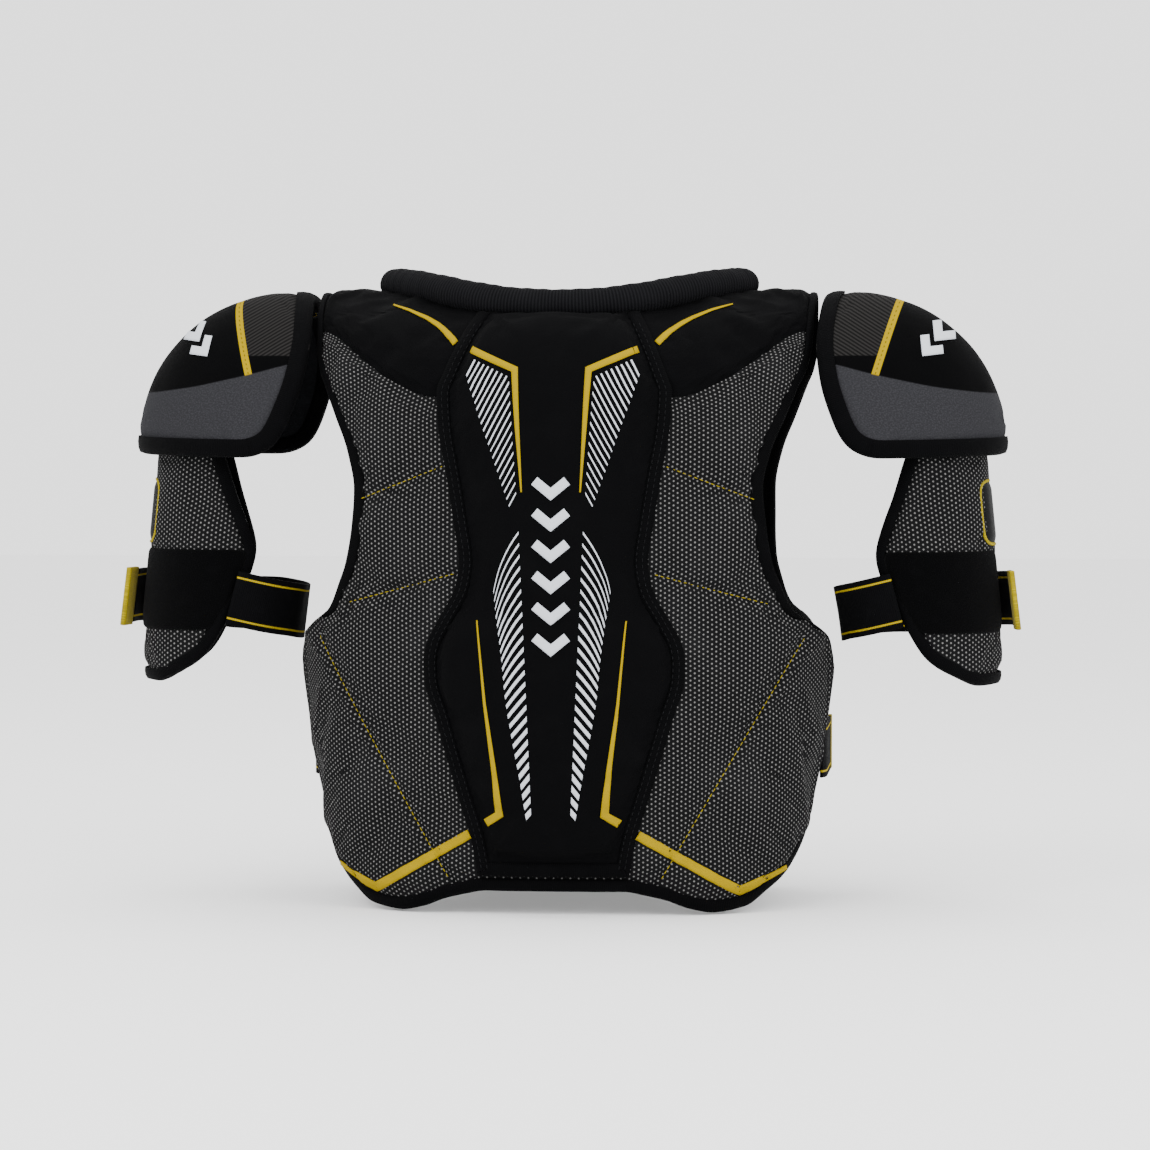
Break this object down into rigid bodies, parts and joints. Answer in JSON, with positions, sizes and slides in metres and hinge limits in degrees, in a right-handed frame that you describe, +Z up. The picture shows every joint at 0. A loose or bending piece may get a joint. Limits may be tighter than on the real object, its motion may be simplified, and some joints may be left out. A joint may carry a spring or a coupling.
{
  "type": "hockey shoulder pads",
  "caption": "Padded vest in hinged back and chest halves, with domed shoulder caps that lift, swinging bicep pads, arm straps and side straps.",
  "frame": {"origin": "on the floor under the middle of the bounding box, with the pads standing on their hem", "axes": "+Z up; +Y towards the wearer's front, so the back faces -Y; +X towards the wearer's right; the X = 0 plane is the mirror plane"},
  "size_m": [0.6304, 0.264, 0.4397],
  "materials": {
    "mesh": "open sports mesh over grey spacer fabric",
    "print_fabric": "smooth black knit with printed marks",
    "foam": "closed-cell foam",
    "lining": "brushed lining",
    "binding": "woven binding tape",
    "plastic": "moulded polyethylene",
    "cap_fabric": "ribbed and heathered knit",
    "webbing": "elastic webbing",
    "tab": "yellow brushed hook tab",
    "loop": "brushed loop tape",
    "trim_plastic": "moulded bicep plate"
  },
  "bodies": {
    "back": {"back_cover_left": "mesh", "back_cover_right": "mesh", "back_foam_left": "foam", "back_foam_right": "foam", "back_liner": "lining", "spine_cover": "print_fabric", "spine_foam": "foam", "spine_plate": "plastic", "back_yoke_left": "print_fabric", "back_yoke_right": "print_fabric", "back_binding_left": "binding", "back_binding_right": "binding", "collar_roll": "lining"},
    "chest": {"chest_cover_left": "mesh", "chest_cover_right": "mesh", "chest_foam_left": "foam", "chest_foam_right": "foam", "chest_liner": "lining", "sternum_cover": "print_fabric", "sternum_foam": "foam", "sternum_plate": "plastic", "front_yoke_left": "print_fabric", "front_yoke_right": "print_fabric", "front_binding_left": "binding", "front_binding_right": "binding", "strap_landing_left": "loop", "strap_landing_right": "loop"},
    "side_strap_left": {"side_strap_left": "webbing"},
    "side_strap_right": {"side_strap_right": "webbing"},
    "side_tab_left": {"side_strap_tab_left": "tab"},
    "side_tab_right": {"side_strap_tab_right": "tab"},
    "cap_left": {"cap_cover_left": "cap_fabric", "cap_shell_left": "plastic", "cap_lining_left": "lining", "cap_binding_left": "binding", "cap_webbing_left": "webbing", "bicep_hanger_left": "webbing"},
    "cap_right": {"cap_cover_right": "cap_fabric", "cap_shell_right": "plastic", "cap_lining_right": "lining", "cap_binding_right": "binding", "cap_webbing_right": "webbing", "bicep_hanger_right": "webbing"},
    "bicep_left": {"bicep_cover_left": "mesh", "bicep_foam_left": "foam", "bicep_plate_left": "trim_plastic", "bicep_binding_left": "binding", "bicep_loop_patch_left": "loop", "arm_strap_root_left": "webbing"},
    "bicep_right": {"bicep_cover_right": "mesh", "bicep_foam_right": "foam", "bicep_plate_right": "trim_plastic", "bicep_binding_right": "binding", "bicep_loop_patch_right": "loop", "arm_strap_root_right": "webbing"},
    "arm_strap_left": {"arm_strap_left": "webbing"},
    "arm_strap_right": {"arm_strap_right": "webbing"},
    "arm_tab_left": {"arm_strap_tab_left": "tab"},
    "arm_tab_right": {"arm_strap_tab_right": "tab"}
  },
  "joints": [
    {"name": "chest_open", "type": "hinge", "parent": "back", "child": "chest", "pos_m": [0, 0, 0.4255], "axis": [1, 0, 0], "range_deg": [0, 35]},
    {"name": "cap_lift_right", "type": "hinge", "parent": "back", "child": "cap_right", "pos_m": [0.179, 0, 0.4255], "axis": [0, -1, 0], "range_deg": [0, 60]},
    {"name": "bicep_swing_right", "type": "hinge", "parent": "cap_right", "child": "bicep_right", "pos_m": [0.2734, 0, 0.322], "axis": [1, 0, 0], "range_deg": [-10, 10]},
    {"name": "arm_strap_open_right", "type": "hinge", "parent": "bicep_right", "child": "arm_strap_right", "pos_m": [0.18868, 0.00975, 0.19596], "axis": [-0.1219, 0, 0.9925], "range_deg": [0, 30]},
    {"name": "arm_tab_peel_right", "type": "hinge", "parent": "arm_strap_right", "child": "arm_tab_right", "pos_m": [0.30818, -0.0055, 0.21063], "axis": [-0.1219, 0, 0.9925], "range_deg": [0, 60]},
    {"name": "side_strap_open_right", "type": "hinge", "parent": "back", "child": "side_strap_right", "pos_m": [0.1792, 0.0005, 0.105], "axis": [0, 0, -1], "range_deg": [0, 70]},
    {"name": "side_tab_peel_right", "type": "hinge", "parent": "side_strap_right", "child": "side_tab_right", "pos_m": [0.1792, 0.063, 0.105], "axis": [0, 0, -1], "range_deg": [0, 60]},
    {"name": "cap_lift_left", "type": "hinge", "parent": "back", "child": "cap_left", "pos_m": [-0.179, 0, 0.4255], "axis": [0, 1, 0], "range_deg": [0, 60]},
    {"name": "bicep_swing_left", "type": "hinge", "parent": "cap_left", "child": "bicep_left", "pos_m": [-0.2734, 0, 0.322], "axis": [1, 0, 0], "range_deg": [-10, 10]},
    {"name": "arm_strap_open_left", "type": "hinge", "parent": "bicep_left", "child": "arm_strap_left", "pos_m": [-0.18868, 0.00975, 0.19596], "axis": [-0.1219, 0, -0.9925], "range_deg": [0, 30]},
    {"name": "arm_tab_peel_left", "type": "hinge", "parent": "arm_strap_left", "child": "arm_tab_left", "pos_m": [-0.30818, -0.0055, 0.21063], "axis": [-0.1219, 0, -0.9925], "range_deg": [0, 60]},
    {"name": "side_strap_open_left", "type": "hinge", "parent": "back", "child": "side_strap_left", "pos_m": [-0.1792, 0.0005, 0.105], "axis": [0, 0, 1], "range_deg": [0, 70]},
    {"name": "side_tab_peel_left", "type": "hinge", "parent": "side_strap_left", "child": "side_tab_left", "pos_m": [-0.1792, 0.063, 0.105], "axis": [0, 0, 1], "range_deg": [0, 60]}
  ]
}
